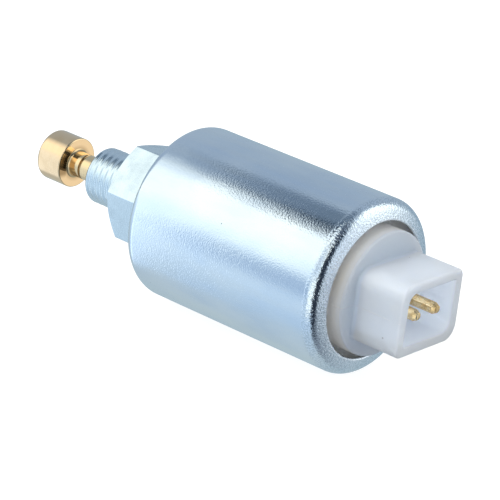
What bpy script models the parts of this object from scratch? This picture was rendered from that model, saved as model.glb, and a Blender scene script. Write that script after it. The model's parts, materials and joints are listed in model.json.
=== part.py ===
# Fuel shutoff solenoid for a small engine's carburettor, in metres.
# X runs along the axis towards the connector, Z is the connector's height.
# The origin is the centre of the hexagon's sealing face, where the threaded stub rises.

import bpy
import bmesh
from math import atan2, cos, pi, radians, sin, tan
from mathutils import Matrix

# clearances
seat_gap = 0.0003
running_gap = 0.0001
neck_gap = 0.0005

# steel case, deep drawn, with its mouth rolled in over the connector's flange
case_radius = 0.0120
case_length = 0.0327
case_wall = 0.0010
case_floor = 0.0012
case_front_round = 0.00175
case_rim_round = 0.00167
lip_width = 0.00244
lip_thickness = 0.0010

# hexagon, threaded stub and staked spigot
hex_across_flats = 0.0130
hex_height = 0.0080
hex_turn = radians(18.7)
hex_face_inset = 0.0002
hex_chamfer_angle = radians(30)
thread_radius = 0.0040
thread_length = 0.0070
thread_chamfer = 0.0007
spigot_wall = 0.0010

# brass valve tip
neck_radius = 0.0018
neck_fillet = 0.0004
neck_groove_reach = 0.0019
neck_groove_width = 0.00045
neck_groove_depth = 0.0003
neck_grip = 0.0047
head_radius = 0.00355
head_length = 0.0045
head_reach = 0.0052
head_round = 0.0006
head_back_bevel = 0.00015

# plunger, its guide tube and the return spring
stroke = 0.0030
plunger_share = 0.2917
plunger_chamfer = 0.0003
plunger_seat = 0.0040
guide_wall = 0.0004
guide_socket_depth = 0.0040
stop_gap = 0.0001
shim_thickness = 0.0002
spring_wire = 0.0005
spring_pocket_wall = 0.0014
spring_coils = 7
spring_pocket = 0.0080

# fixed core
core_length = 0.0070
core_recess = 0.0008
core_rivet_radius = 0.0025
core_groove_back = 0.0025

# coil
bobbin_hub_wall = 0.0009
bobbin_clearance = 0.0006
bobbin_front_flange = 0.0020
bobbin_rear_flange = 0.0012
winding_inset = 0.0009
tape_thickness = 0.0002
lead_radius = 0.0002
lead_inset = 0.00075
lead_bend = 0.0008

# flux plates, washer and seals
plate_thickness = 0.0018
washer_height = 0.0010
washer_thickness = 0.0003
washer_inner_gap = 0.0009
washer_outer_gap = 0.0010
washer_waves = 3
front_ring_section = 0.0012
front_ring_pocket = 0.0012
core_ring_section = 0.0011
case_seal_section = 0.0015

# moulded connector and its pins
flange_thickness = 0.0016
hub_clearance = 0.00114
hub_rise = 0.00187
hub_round = 0.0006
shroud_reach = 0.00955
shroud_width = 0.0122
shroud_height = 0.0098
shroud_wall = 0.00135
shroud_broad_corner = 0.0021
shroud_small_corner = 0.0010
shroud_rim_bevel = 0.0002
socket_depth = 0.0085
socket_broad_corner = 0.0014
socket_small_corner = 0.0003
pin_radius = 0.00075
pin_pitch = 0.0040
pin_setback = 0.0003
pin_nose = 0.0005
pin_stand_off = 0.0009
skirt_wall = 0.0010
terminal_recess_depth = 0.0015

# facets round the big turned pieces, the small ones, and a wire
big_steps = 48
small_steps = 24
wire_steps = 10
weld = 0.00001
overshoot = 0.0010

# stations along the axis, from the stub towards the connector
thread_end = -thread_length
head_start = thread_end - head_reach
head_end = head_start - head_length
case_front = hex_height + seat_gap
case_rim = case_front + case_length
front_plate_start = case_front + case_floor + seat_gap
washer_middle = front_plate_start + plate_thickness + seat_gap + washer_height / 2
bobbin_start = washer_middle + washer_height / 2 + seat_gap
flange_top = case_rim - lip_thickness - seat_gap
flange_bottom = flange_top - flange_thickness
case_seal_middle = flange_bottom - seat_gap - case_seal_section / 2
rear_plate_end = case_seal_middle - case_seal_section / 2 - seat_gap
rear_plate_start = rear_plate_end - plate_thickness
bobbin_end = rear_plate_start - seat_gap
housing_bottom = rear_plate_end + seat_gap
recess_roof = housing_bottom + terminal_recess_depth
hub_face = case_rim + hub_rise
shroud_front = case_rim + shroud_reach
socket_floor = shroud_front - socket_depth
pin_root = rear_plate_end + pin_stand_off
pin_tip = shroud_front - pin_setback

# radii that follow from what fits inside what
case_inside_radius = case_radius - case_wall
plate_radius = case_inside_radius - seat_gap
bobbin_flange_radius = case_inside_radius - bobbin_clearance
winding_radius = bobbin_flange_radius - winding_inset
lip_opening_radius = case_radius - lip_width
hub_radius = lip_opening_radius - hub_clearance
plunger_radius = case_radius * plunger_share
guide_inner_radius = plunger_radius + running_gap
guide_outer_radius = guide_inner_radius + guide_wall
guide_fit_radius = guide_outer_radius + seat_gap
spigot_radius = guide_fit_radius + spigot_wall
spigot_hole_radius = spigot_radius + seat_gap
bobbin_hub_radius = guide_fit_radius + bobbin_hub_wall
core_radius = guide_inner_radius - seat_gap
spring_pocket_radius = plunger_radius - spring_pocket_wall
spring_radius = spring_pocket_radius - seat_gap - spring_wire / 2
front_ring_radius = guide_fit_radius + front_ring_section / 2
core_ring_radius = core_radius - core_ring_section / 2
case_seal_radius = plate_radius - case_seal_section / 2
skirt_radius = case_seal_radius - case_seal_section / 2 - seat_gap
terminal_recess_radius = skirt_radius - skirt_wall
lead_offset = terminal_recess_radius - lead_inset
washer_inner_radius = spigot_radius + washer_inner_gap
washer_outer_radius = case_inside_radius - washer_outer_gap

# stations of the pieces inside the coil
front_ring_middle = bobbin_start + front_ring_pocket - seat_gap - front_ring_section / 2
spigot_end = front_ring_middle - front_ring_section / 2 - seat_gap
guide_socket_floor = spigot_end - guide_socket_depth
core_front = bobbin_end - core_length
core_ring_middle = bobbin_end - core_groove_back
shim_end = core_front - seat_gap
shim_start = shim_end - shim_thickness
plunger_start = plunger_seat + seat_gap
plunger_end = shim_start - stop_gap - stroke
neck_end = plunger_start + neck_grip
winding_start = bobbin_start + bobbin_front_flange + seat_gap
winding_end = bobbin_end - bobbin_rear_flange - seat_gap


def material(name, color, roughness, metallic):
    made = bpy.data.materials.new(name)
    made.use_nodes = True
    shader = made.node_tree.nodes["Principled BSDF"]
    shader.inputs["Base Color"].default_value = (*color, 1)
    shader.inputs["Roughness"].default_value = roughness
    shader.inputs["Metallic"].default_value = metallic
    return made


def new_collection(name):
    made = bpy.data.collections.new(name)
    bpy.context.scene.collection.children.link(made)
    return made


def new_empty(name, parent=None):
    made = bpy.data.objects.new(name, None)
    made.parent = parent
    solenoid.objects.link(made)
    return made


for old in list(bpy.data.objects):
    bpy.data.objects.remove(old, do_unlink=True)

solenoid = new_collection("fuel_shutoff_solenoid")
cutters = new_collection("cutters")

# Turned pieces are drawn upright. This empty lays them down, its local Z along the object's X.
main_axis = new_empty("main_axis")
main_axis.rotation_euler = (0, pi / 2, 0)
slide_axis = new_empty("slide_axis", main_axis)

zinc = material("zinc_plated_steel", (0.62, 0.68, 0.76), 0.32, 1.0)
steel = material("bare_steel", (0.48, 0.49, 0.50), 0.35, 1.0)
brass = material("brass", (0.80, 0.62, 0.33), 0.25, 1.0)
nylon = material("white_nylon", (0.80, 0.84, 0.88), 0.45, 0.0)
bobbin_plastic = material("bobbin_plastic", (0.10, 0.10, 0.11), 0.55, 0.0)
copper = material("enamelled_copper", (0.72, 0.33, 0.16), 0.30, 1.0)
film = material("polyester_film", (0.75, 0.62, 0.25), 0.35, 0.0)
rubber = material("black_rubber", (0.03, 0.03, 0.03), 0.65, 0.0)


def place(obj, collection, station=0.0, parent=None):
    """Links obj and sets it at a station along the main axis."""
    collection.objects.link(obj)
    obj.parent = parent or main_axis
    obj.location = (0, 0, station)
    return obj


def finish(obj, look, sharp_angle=35):
    obj.data.materials.clear()
    obj.data.materials.append(look)
    obj.data.shade_smooth()
    obj.data.set_sharp_from_angle(angle=radians(sharp_angle))
    return obj


def mesh_object(name, shape, collection, station=0.0, parent=None):
    """A bmesh as a new object."""
    data = bpy.data.meshes.new(name)
    shape.to_mesh(data)
    shape.free()
    return place(bpy.data.objects.new(name, data), collection, station, parent)


def arc(center_radius, center_height, radius, start, end, steps=4):
    """A round corner of a profile, as (radius, height) points from start to end degrees."""
    turns = [radians(start + (end - start) * i / steps) for i in range(steps + 1)]
    return [(center_radius + radius * cos(a), center_height + radius * sin(a)) for a in turns]


def ring_profile(inner, outer, bottom, top):
    return [(outer, top), (outer, bottom), (inner, bottom), (inner, top)]


def turned_mesh(name, profile, steps, closed):
    """The profile, given down its outer side, turned once round the axis."""
    data = bpy.data.meshes.new(name)
    edges = [(i, i + 1) for i in range(len(profile) - 1)]
    if closed:
        edges.append((len(profile) - 1, 0))
    data.from_pydata([(radius, 0, height) for radius, height in profile], edges, [])
    lathe = bpy.data.objects.new(name, data)
    bpy.context.scene.collection.objects.link(lathe)
    screw = lathe.modifiers.new("turn", "SCREW")
    screw.steps = steps
    screw.render_steps = steps
    screw.use_merge_vertices = True
    screw.merge_threshold = weld
    graph = bpy.context.evaluated_depsgraph_get()
    shape = bpy.data.meshes.new_from_object(lathe.evaluated_get(graph))
    bpy.data.objects.remove(lathe)
    bpy.data.meshes.remove(data)
    return shape


def turned(name, profile, look=None, steps=small_steps, closed=False, parent=None):
    """A turned piece, or a turned cutter where it is given no look."""
    shape = turned_mesh(name, profile, steps, closed)
    made = place(bpy.data.objects.new(name, shape), solenoid if look else cutters, 0, parent)
    return finish(made, look) if look else made


def cut(obj, cutter, operation="DIFFERENCE"):
    cutter.hide_render = True
    cutter.display_type = "WIRE"
    step = obj.modifiers.new(f"{operation.lower()} {cutter.name}", "BOOLEAN")
    step.operation = operation
    step.solver = "EXACT"
    step.object = cutter


def rod(name, radius, start, end, across, steps=wire_steps):
    """A round cutter along the axis, set off from it along Y."""
    shape = bmesh.new()
    bmesh.ops.create_cone(
        shape, cap_ends=True, segments=steps, radius1=radius, radius2=radius, depth=end - start
    )
    made = mesh_object(name, shape, cutters, (start + end) / 2)
    made.location.y = across
    made.rotation_euler.z = pi / steps
    return made


def o_ring(name, middle_radius, section, station):
    bpy.ops.mesh.primitive_torus_add(
        major_segments=small_steps,
        minor_segments=wire_steps,
        major_radius=middle_radius,
        minor_radius=section / 2,
    )
    made = bpy.context.object
    made.name = name
    for home in list(made.users_collection):
        home.objects.unlink(made)
    return finish(place(made, solenoid, station), rubber, 180)


def wire(name, points, radius, look):
    """A round wire through the points, which are in the main axis's frame."""
    path = bpy.data.curves.new(name, "CURVE")
    path.dimensions = "3D"
    path.bevel_depth = radius
    path.bevel_resolution = 2
    path.use_fill_caps = True
    line = path.splines.new("POLY")
    line.points.add(len(points) - 1)
    for spot, point in zip(line.points, points):
        spot.co = (*point, 1)
    path.materials.append(look)
    return place(bpy.data.objects.new(name, path), solenoid)


def block(name, width, height, start, end, corners, rim_bevel=0.0):
    """A box along the axis. corners gives (radius, steps) for each long edge by its side in Y and Z."""
    shape = bmesh.new()
    bmesh.ops.create_cube(shape, size=1.0)
    bmesh.ops.scale(shape, verts=shape.verts, vec=(height, width, end - start))

    def along(edge):
        return abs(edge.verts[0].co.z - edge.verts[1].co.z) > weld

    # A piece's local X points down, so the side in Z is the other way round.
    long_edges = {
        (side_y, side_z): [
            edge
            for edge in shape.edges
            if along(edge) and edge.verts[0].co.y * side_y > 0 and edge.verts[0].co.x * side_z < 0
        ]
        for side_y, side_z in corners
    }
    for side, (radius, steps) in corners.items():
        bmesh.ops.bevel(
            shape, geom=long_edges[side], offset=radius, segments=steps, profile=0.5, affect="EDGES"
        )
    if rim_bevel:
        top = (end - start) / 2 - weld
        rim = [edge for edge in shape.edges if all(v.co.z > top for v in edge.verts)]
        bmesh.ops.bevel(shape, geom=rim, offset=rim_bevel, segments=1, profile=0.5, affect="EDGES")
    return mesh_object(name, shape, cutters, (start + end) / 2)


def make_case():
    """The can: floor with a hole for the spigot, wall, and the lip rolled in at the mouth."""
    inner_round = case_front_round - case_wall
    lip_nose = lip_thickness / 2
    floor_top = case_front + case_floor
    profile = [
        *arc(lip_opening_radius + lip_nose, case_rim - lip_nose, lip_nose, 270, 90, 6),
        *arc(case_radius - case_rim_round, case_rim - case_rim_round, case_rim_round, 90, 0, 5),
        *arc(case_radius - case_front_round, case_front + case_front_round, case_front_round, 0, -90, 5),
        (spigot_hole_radius, case_front),
        (spigot_hole_radius, floor_top),
        *arc(case_inside_radius - inner_round, floor_top + inner_round, inner_round, -90, 0, 2),
        (case_inside_radius, case_rim - lip_thickness),
    ]
    turned("case", profile, zinc, big_steps, closed=True)


def make_hex_fitting():
    """Hexagon, threaded stub and spigot in one turning, bored for the tube, plunger and neck."""
    flat_radius = hex_across_flats / 2
    corner_radius = flat_radius / cos(pi / 6)
    shape = bmesh.new()
    bmesh.ops.create_cone(
        shape,
        cap_ends=True,
        segments=6,
        radius1=corner_radius,
        radius2=corner_radius,
        depth=hex_height,
        matrix=Matrix.Rotation(hex_turn - pi / 6, 4, "Z"),
    )
    fitting = mesh_object("hex_fitting", shape, solenoid, hex_height / 2)

    # The corners are turned off at an angle, which leaves a round sealing face.
    face_radius = flat_radius - hex_face_inset
    reach = corner_radius + overshoot
    corner_cone = [
        (0, hex_height + overshoot),
        (reach, hex_height + overshoot),
        (reach, (reach - face_radius) * tan(hex_chamfer_angle)),
        (face_radius, 0),
        (0, 0),
    ]
    shank = [
        (0, spigot_end),
        (spigot_radius, spigot_end),
        (spigot_radius, hex_height / 2),
        (thread_radius, hex_height / 2),
        (thread_radius, thread_end + thread_chamfer),
        (thread_radius - thread_chamfer, thread_end),
        (0, thread_end),
    ]
    neck_bore_radius = neck_radius + neck_gap
    bore = [
        (0, spigot_end + overshoot),
        (guide_fit_radius, spigot_end + overshoot),
        (guide_fit_radius, guide_socket_floor),
        (guide_inner_radius, guide_socket_floor),
        (guide_inner_radius, plunger_seat),
        (neck_bore_radius, plunger_seat),
        (neck_bore_radius, thread_end - overshoot),
        (0, thread_end - overshoot),
    ]
    cut(fitting, turned("corner_cone", corner_cone, steps=big_steps), "INTERSECT")
    cut(fitting, turned("shank", shank), "UNION")
    cut(fitting, turned("fitting_bore", bore))
    finish(fitting, zinc)


def make_valve_tip():
    """Brass head with a rounded nose, on the grooved neck that is pressed into the plunger."""
    groove_radius = neck_radius - neck_groove_depth
    groove_front = head_start + neck_groove_reach
    groove_back = groove_front + neck_groove_width
    profile = [
        (0, neck_end),
        (neck_radius - plunger_chamfer, neck_end),
        (neck_radius, neck_end - plunger_chamfer),
        (neck_radius, groove_back),
        (groove_radius, groove_back),
        (groove_radius, groove_front),
        (neck_radius, groove_front),
        *arc(neck_radius + neck_fillet, head_start + neck_fillet, neck_fillet, 180, 270, 3),
        (head_radius - head_back_bevel, head_start),
        (head_radius, head_start - head_back_bevel),
        *arc(head_radius - head_round, head_end + head_round, head_round, 0, -90, 4),
        (0, head_end),
    ]
    turned("valve_tip", profile, brass, parent=slide_axis)


def make_plunger():
    """Steel armature with the spring's pocket behind and the neck's socket in front."""
    neck_socket_radius = neck_radius + seat_gap
    pocket_floor = plunger_end - spring_pocket
    profile = [
        (0, pocket_floor),
        (spring_pocket_radius, pocket_floor),
        (spring_pocket_radius, plunger_end),
        (plunger_radius - plunger_chamfer, plunger_end),
        (plunger_radius, plunger_end - plunger_chamfer),
        (plunger_radius, plunger_start + plunger_chamfer),
        (plunger_radius - plunger_chamfer, plunger_start),
        (neck_socket_radius, plunger_start),
        (neck_socket_radius, neck_end + seat_gap),
        (0, neck_end + seat_gap),
    ]
    turned("plunger", profile, steel, parent=slide_axis)


def make_guide_and_core():
    """The tube that the plunger slides in, the core that closes it, and the shim on the core."""
    tube = ring_profile(
        guide_inner_radius, guide_outer_radius, guide_socket_floor + seat_gap, bobbin_end
    )
    turned("guide_tube", tube, brass, closed=True)

    groove_floor = core_ring_radius - core_ring_section / 2 - seat_gap
    groove_half = core_ring_section / 2 + seat_gap
    core = [
        (0, rear_plate_end),
        (core_rivet_radius, rear_plate_end),
        (core_rivet_radius, bobbin_end),
        (core_radius, bobbin_end),
        (core_radius, core_ring_middle + groove_half),
        (groove_floor, core_ring_middle + groove_half),
        (groove_floor, core_ring_middle - groove_half),
        (core_radius, core_ring_middle - groove_half),
        (core_radius, core_front),
        (spring_pocket_radius, core_front),
        (spring_pocket_radius, core_front + core_recess),
        (0, core_front + core_recess),
    ]
    turned("pole_core", core, steel)
    o_ring("core_o_ring", core_ring_radius, core_ring_section, core_ring_middle)

    shim = ring_profile(spring_pocket_radius, core_radius, shim_start, shim_end)
    turned("stop_shim", shim, brass, closed=True)


def spring_points():
    """The centre line of the spring, with one closed coil at each end."""
    bottom = plunger_end - spring_pocket + seat_gap + spring_wire / 2
    top = core_front + core_recess - seat_gap - spring_wire / 2
    closed_pitch = spring_wire + running_gap
    open_pitch = (top - bottom - 2 * closed_pitch) / spring_coils
    points = []
    for i in range((spring_coils + 2) * wire_steps + 1):
        turns = i / wire_steps
        open_turns = min(max(turns - 1, 0), spring_coils)
        height = bottom + closed_pitch * (turns - open_turns) + open_pitch * open_turns
        angle = 2 * pi * turns
        points.append((spring_radius * cos(angle), spring_radius * sin(angle), height))
    return points


def make_coil():
    """Bobbin with its pocket for the front ring, the copper on it, and the film round that."""
    pocket_radius = front_ring_radius + front_ring_section / 2 + seat_gap
    pocket_floor = bobbin_start + front_ring_pocket
    spool = [
        (bobbin_flange_radius, bobbin_end),
        (bobbin_flange_radius, bobbin_end - bobbin_rear_flange),
        (bobbin_hub_radius, bobbin_end - bobbin_rear_flange),
        (bobbin_hub_radius, bobbin_start + bobbin_front_flange),
        (bobbin_flange_radius, bobbin_start + bobbin_front_flange),
        (bobbin_flange_radius, bobbin_start),
        (pocket_radius, bobbin_start),
        (pocket_radius, pocket_floor),
        (guide_fit_radius, pocket_floor),
        (guide_fit_radius, bobbin_end),
    ]
    bobbin = turned("bobbin", spool, bobbin_plastic, big_steps, closed=True)
    for hole in lead_holes:
        cut(bobbin, hole)
    o_ring("front_o_ring", front_ring_radius, front_ring_section, front_ring_middle)

    copper_inner = bobbin_hub_radius + seat_gap
    copper_ring = ring_profile(copper_inner, winding_radius, winding_start, winding_end)
    turned("winding", copper_ring, copper, big_steps, closed=True)

    film_inner = winding_radius + seat_gap
    film_ring = ring_profile(film_inner, film_inner + tape_thickness, winding_start, winding_end)
    turned("winding_tape", film_ring, film, big_steps, closed=True)


def make_flux_plates():
    """Steel washers that carry the field. The front one's edge clears the round inside the can."""
    edge = case_front_round - case_wall
    front_plate_end = front_plate_start + plate_thickness
    front_plate = [
        (plate_radius, front_plate_end),
        (plate_radius, front_plate_start + edge),
        (plate_radius - edge, front_plate_start),
        (spigot_hole_radius, front_plate_start),
        (spigot_hole_radius, front_plate_end),
    ]
    turned("front_flux_plate", front_plate, steel, big_steps, closed=True)

    core_hole_radius = core_rivet_radius + seat_gap
    rear_plate = ring_profile(core_hole_radius, plate_radius, rear_plate_start, rear_plate_end)
    rear = turned("rear_flux_plate", rear_plate, steel, big_steps, closed=True)
    for hole in lead_holes:
        cut(rear, hole)


def make_wave_washer():
    """A flat ring bent into waves, which presses the bobbin back against the rear plate."""
    flat = [(washer_outer_radius, 0), (washer_inner_radius, 0)]
    shape = turned_mesh("wave_washer", flat, big_steps, closed=False)
    wave = (washer_height - washer_thickness) / 2
    for vertex in shape.vertices:
        vertex.co.z = wave * cos(washer_waves * atan2(vertex.co.y, vertex.co.x))
    washer = place(bpy.data.objects.new("wave_washer", shape), solenoid, washer_middle)
    thickness = washer.modifiers.new("thickness", "SOLIDIFY")
    thickness.thickness = washer_thickness
    thickness.offset = 0
    finish(washer, steel, 60)


def make_lead(name, side):
    """From beside a pin's root, outwards and down through the rear plate to the winding."""
    start = side * (pin_pitch / 2 + pin_radius + seat_gap)
    level = pin_root + 2 * lead_radius
    bend = arc(lead_offset - lead_bend, level - lead_bend, lead_bend, 90, 0)
    down = [(0, side * across, height) for across, height in bend]
    end = (0, side * lead_offset, winding_end + seat_gap)
    wire(name, [(0, start, level), *down, end], lead_radius, copper)


def make_connector():
    """One moulding: flange under the lip, round hub, and the shroud round the two pins."""
    base = [
        (0, hub_face),
        *arc(hub_radius - hub_round, hub_face - hub_round, hub_round, 90, 0, 3),
        (hub_radius, flange_top),
        (plate_radius, flange_top),
        (plate_radius, flange_bottom),
        (skirt_radius, flange_bottom),
        (skirt_radius, housing_bottom),
        (terminal_recess_radius, housing_bottom),
        (terminal_recess_radius, recess_roof),
        (0, recess_roof),
    ]
    housing = turned("connector_housing", base, nylon, big_steps)

    # Two opposite corners are broader than the others, so the plug goes on one way round only.
    broad = (shroud_broad_corner, 3)
    small = (shroud_small_corner, 3)
    shroud_corners = {(-1, 1): broad, (1, -1): broad, (1, 1): small, (-1, -1): small}
    shroud = block(
        "shroud",
        shroud_width,
        shroud_height,
        flange_top,
        shroud_front,
        shroud_corners,
        shroud_rim_bevel,
    )
    broad_inside = (socket_broad_corner, 2)
    small_inside = (socket_small_corner, 1)
    socket_corners = {
        (-1, 1): broad_inside,
        (1, -1): broad_inside,
        (1, 1): small_inside,
        (-1, -1): small_inside,
    }
    socket = block(
        "socket",
        shroud_width - 2 * shroud_wall,
        shroud_height - 2 * shroud_wall,
        socket_floor,
        shroud_front + overshoot,
        socket_corners,
    )
    cut(housing, shroud, "UNION")
    cut(housing, socket)

    tip = [
        *arc(pin_radius - pin_nose, pin_tip - pin_nose, pin_nose, 90, 0, 3),
        (pin_radius, pin_root),
        (0, pin_root),
    ]
    for letter, side in (("a", -1), ("b", 1)):
        pin = turned(f"terminal_pin_{letter}", [(0, pin_tip), *tip], brass, 16)
        pin.location.y = side * pin_pitch / 2
        hole = rod(
            f"pin_hole_{letter}",
            pin_radius + seat_gap,
            recess_roof - overshoot,
            socket_floor + overshoot,
            side * pin_pitch / 2,
            16,
        )
        cut(housing, hole)
    finish(housing, nylon)


# Both leads go through the same holes in the bobbin's rear flange and in the rear plate.
lead_holes = [
    rod(
        f"lead_hole_{letter}",
        lead_radius + seat_gap,
        winding_end,
        housing_bottom,
        side * lead_offset,
    )
    for letter, side in (("a", -1), ("b", 1))
]

make_case()
make_hex_fitting()
make_valve_tip()
make_plunger()
make_guide_and_core()
wire("return_spring", spring_points(), spring_wire / 2, steel)
make_coil()
make_flux_plates()
make_wave_washer()
make_lead("start_lead", -1)
make_lead("finish_lead", 1)
o_ring("case_seal", case_seal_radius, case_seal_section, case_seal_middle)
make_connector()
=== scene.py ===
# Fuel shutoff solenoid, dressed for its portrait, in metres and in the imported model's frame.
# X runs along the axis towards the connector and Z is up.
# Angles round the axis start at the top, +Z, and turn towards -Y.

import bpy
import bmesh
import json
from math import atan2, cos, hypot, pi, radians, sin, tan
from mathutils import Matrix, Vector


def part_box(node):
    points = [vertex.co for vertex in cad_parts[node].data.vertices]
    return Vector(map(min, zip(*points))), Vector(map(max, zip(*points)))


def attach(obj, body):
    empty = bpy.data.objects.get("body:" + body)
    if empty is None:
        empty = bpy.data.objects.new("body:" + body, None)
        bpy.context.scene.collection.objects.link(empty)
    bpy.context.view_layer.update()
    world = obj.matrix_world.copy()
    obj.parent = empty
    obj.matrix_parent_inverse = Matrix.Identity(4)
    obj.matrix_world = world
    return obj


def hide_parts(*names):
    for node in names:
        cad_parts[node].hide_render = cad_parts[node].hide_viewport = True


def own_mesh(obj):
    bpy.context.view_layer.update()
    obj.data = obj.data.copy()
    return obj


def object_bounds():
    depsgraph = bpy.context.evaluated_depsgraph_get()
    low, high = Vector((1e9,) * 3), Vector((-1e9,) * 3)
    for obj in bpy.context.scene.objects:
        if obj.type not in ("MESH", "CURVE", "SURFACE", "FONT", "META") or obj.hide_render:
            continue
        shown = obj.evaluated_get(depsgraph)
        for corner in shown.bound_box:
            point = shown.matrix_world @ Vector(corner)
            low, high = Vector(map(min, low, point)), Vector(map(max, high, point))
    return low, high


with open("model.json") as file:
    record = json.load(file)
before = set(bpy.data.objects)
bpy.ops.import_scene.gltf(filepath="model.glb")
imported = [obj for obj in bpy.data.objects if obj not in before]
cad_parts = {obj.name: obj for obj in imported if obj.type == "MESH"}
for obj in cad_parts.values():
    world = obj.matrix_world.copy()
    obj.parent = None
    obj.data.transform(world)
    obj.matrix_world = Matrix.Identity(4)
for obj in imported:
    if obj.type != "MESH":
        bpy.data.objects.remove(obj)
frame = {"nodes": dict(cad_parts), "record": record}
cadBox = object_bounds()
bodyName = "solenoid_body"
plungerName = "plunger_and_tip"
print("frame loaded:", len(frame["nodes"]), "nodes")


# small helpers for the node trees

def addNode(tree, kind, inputs=None, **settings):
    made = tree.nodes.new(kind)
    for name, value in settings.items():
        setattr(made, name, value)
    for name, value in (inputs or {}).items():
        if isinstance(value, bpy.types.NodeSocket):
            tree.links.new(value, made.inputs[name])
        else:
            made.inputs[name].default_value = value
    return made


def mathOf(tree, operation, *values, clamp=False):
    made = addNode(tree, "ShaderNodeMath", dict(enumerate(values)), operation=operation)
    made.use_clamp = clamp
    return made.outputs[0]


def times(tree, first, second):
    return mathOf(tree, "MULTIPLY", first, second)


def inverse(tree, value):
    return mathOf(tree, "SUBTRACT", 1.0, value)


def partsOf(tree, vector):
    return addNode(tree, "ShaderNodeSeparateXYZ", {"Vector": vector}).outputs


def radiusOf(tree, parts):
    # distance from the X axis
    return mathOf(tree, "SQRT", mathOf(
        tree, "MULTIPLY_ADD", parts[1], parts[1], times(tree, parts[2], parts[2])))


def angleOf(tree, parts):
    # radians round the X axis, from the top towards -Y
    return mathOf(tree, "ARCTAN2", times(tree, parts[1], -1.0), parts[2])


def spread(tree, value, low, high, toLow=0.0, toHigh=1.0, smooth=True):
    made = addNode(tree, "ShaderNodeMapRange", {
        "Value": value, "From Min": low, "From Max": high, "To Min": toLow, "To Max": toHigh,
    })
    made.interpolation_type = "SMOOTHSTEP" if smooth else "LINEAR"
    return made.outputs["Result"]


def fade(tree, value, edges, top=1.0):
    # top below the edges, nothing above them
    return spread(tree, value, *edges, top, 0.0)


def between(tree, value, rise, fall, top=1.0):
    return times(tree, spread(tree, value, *rise), fade(tree, value, fall, top))


def mixOf(tree, factor, first, second):
    made = addNode(tree, "ShaderNodeMix", data_type="RGBA")
    for index, value in ((0, factor), (6, first), (7, second)):
        if isinstance(value, bpy.types.NodeSocket):
            tree.links.new(value, made.inputs[index])
        else:
            made.inputs[index].default_value = (*value, 1)
    return made.outputs[2]


def tinted(tree, color, tone, mask, strength):
    return mixOf(tree, times(tree, mask, strength), color, tone)


def rampOf(tree, factor, stops):
    made = addNode(tree, "ShaderNodeValToRGB", {"Fac": factor})
    elements = made.color_ramp.elements
    while len(elements) < len(stops):
        elements.new(0.5)
    for element, (position, color) in zip(elements, stops):
        element.position = position
        element.color = (*color, 1)
    return made.outputs["Color"]


def noiseOf(tree, vector, scale, detail=2.0, roughness=0.5):
    made = addNode(tree, "ShaderNodeTexNoise", {
        "Vector": vector, "Scale": scale, "Detail": detail, "Roughness": roughness,
    })
    return made.outputs["Fac"]


def stretched(tree, vector, scale):
    return addNode(tree, "ShaderNodeMapping", {"Vector": vector, "Scale": scale}).outputs["Vector"]


def bumpOf(tree, height, distance, under=None):
    made = addNode(tree, "ShaderNodeBump", {"Height": height, "Distance": distance})
    if under is not None:
        tree.links.new(under, made.inputs["Normal"])
    return made.outputs["Normal"]


def newGroup(name, outputs, **numbers):
    tree = bpy.data.node_groups.new(name, "ShaderNodeTree")
    tree.interface.new_socket("Vector", in_out="INPUT", socket_type="NodeSocketVector")
    for label, value in numbers.items():
        socket = tree.interface.new_socket(label, in_out="INPUT", socket_type="NodeSocketFloat")
        socket.default_value = value
    for label in outputs:
        tree.interface.new_socket(label, in_out="OUTPUT", socket_type="NodeSocketFloat")
    return tree, tree.nodes.new("NodeGroupInput").outputs, tree.nodes.new("NodeGroupOutput").inputs


def putOut(tree, result, height, low, high):
    tree.links.new(height, result["Height"])
    tree.links.new(spread(tree, height, low, high), result["Mask"])
    return tree


def useGroup(tree, group, vector, scale, **inputs):
    given = {"Vector": vector, "Scale": scale, **inputs}
    return addNode(tree, "ShaderNodeGroup", given, node_tree=group).outputs


# effects that several finishes share

def buildFineGrain():
    tree, given, result = newGroup("fineGrain", ("Height", "Mask"), Scale=5000.0)
    closeness, fineShare = 2.2, 0.12
    coarse = noiseOf(tree, given["Vector"], given["Scale"], 1.0)
    fine = noiseOf(tree, given["Vector"], times(tree, given["Scale"], closeness), 0.0)
    height = mathOf(tree, "MULTIPLY_ADD", coarse, 1 - fineShare, times(tree, fine, fineShare))
    return putOut(tree, result, height, 0.38, 0.62)


def buildSoftClouds():
    tree, given, result = newGroup("softClouds", ("Mask",), Scale=150.0, Low=0.3, High=0.7)
    cloud = noiseOf(tree, given["Vector"], given["Scale"], 3.0, 0.55)
    tree.links.new(spread(tree, cloud, given["Low"], given["High"]), result["Mask"])
    return tree


def buildTinySpecks():
    tree, given, result = newGroup("tinySpecks", ("Mask",), Scale=500.0, Share=0.1, Size=0.12)
    cells = addNode(tree, "ShaderNodeTexVoronoi", {
        "Vector": given["Vector"], "Scale": given["Scale"],
    }).outputs
    draws = addNode(tree, "ShaderNodeSeparateColor", {"Color": cells["Color"]}).outputs
    chosen = mathOf(tree, "LESS_THAN", draws[0], given["Share"])
    size = times(tree, given["Size"], draws[1])
    outside = spread(tree, cells["Distance"], times(tree, size, 0.5), size)
    tree.links.new(times(tree, chosen, inverse(tree, outside)), result["Mask"])
    return tree


def buildTurnedRings():
    tree, given, result = newGroup("turnedRings", ("Height", "Mask"), Scale=5000.0)
    parts = partsOf(tree, given["Vector"])
    # circles on the faces and rounds on the sides
    travel = mathOf(tree, "SUBTRACT", radiusOf(tree, parts), parts[0])
    line = addNode(tree, "ShaderNodeCombineXYZ", {"X": travel}).outputs[0]
    rings = noiseOf(tree, line, given["Scale"], 3.0, 0.7)
    return putOut(tree, result, rings, 0.35, 0.65)


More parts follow.
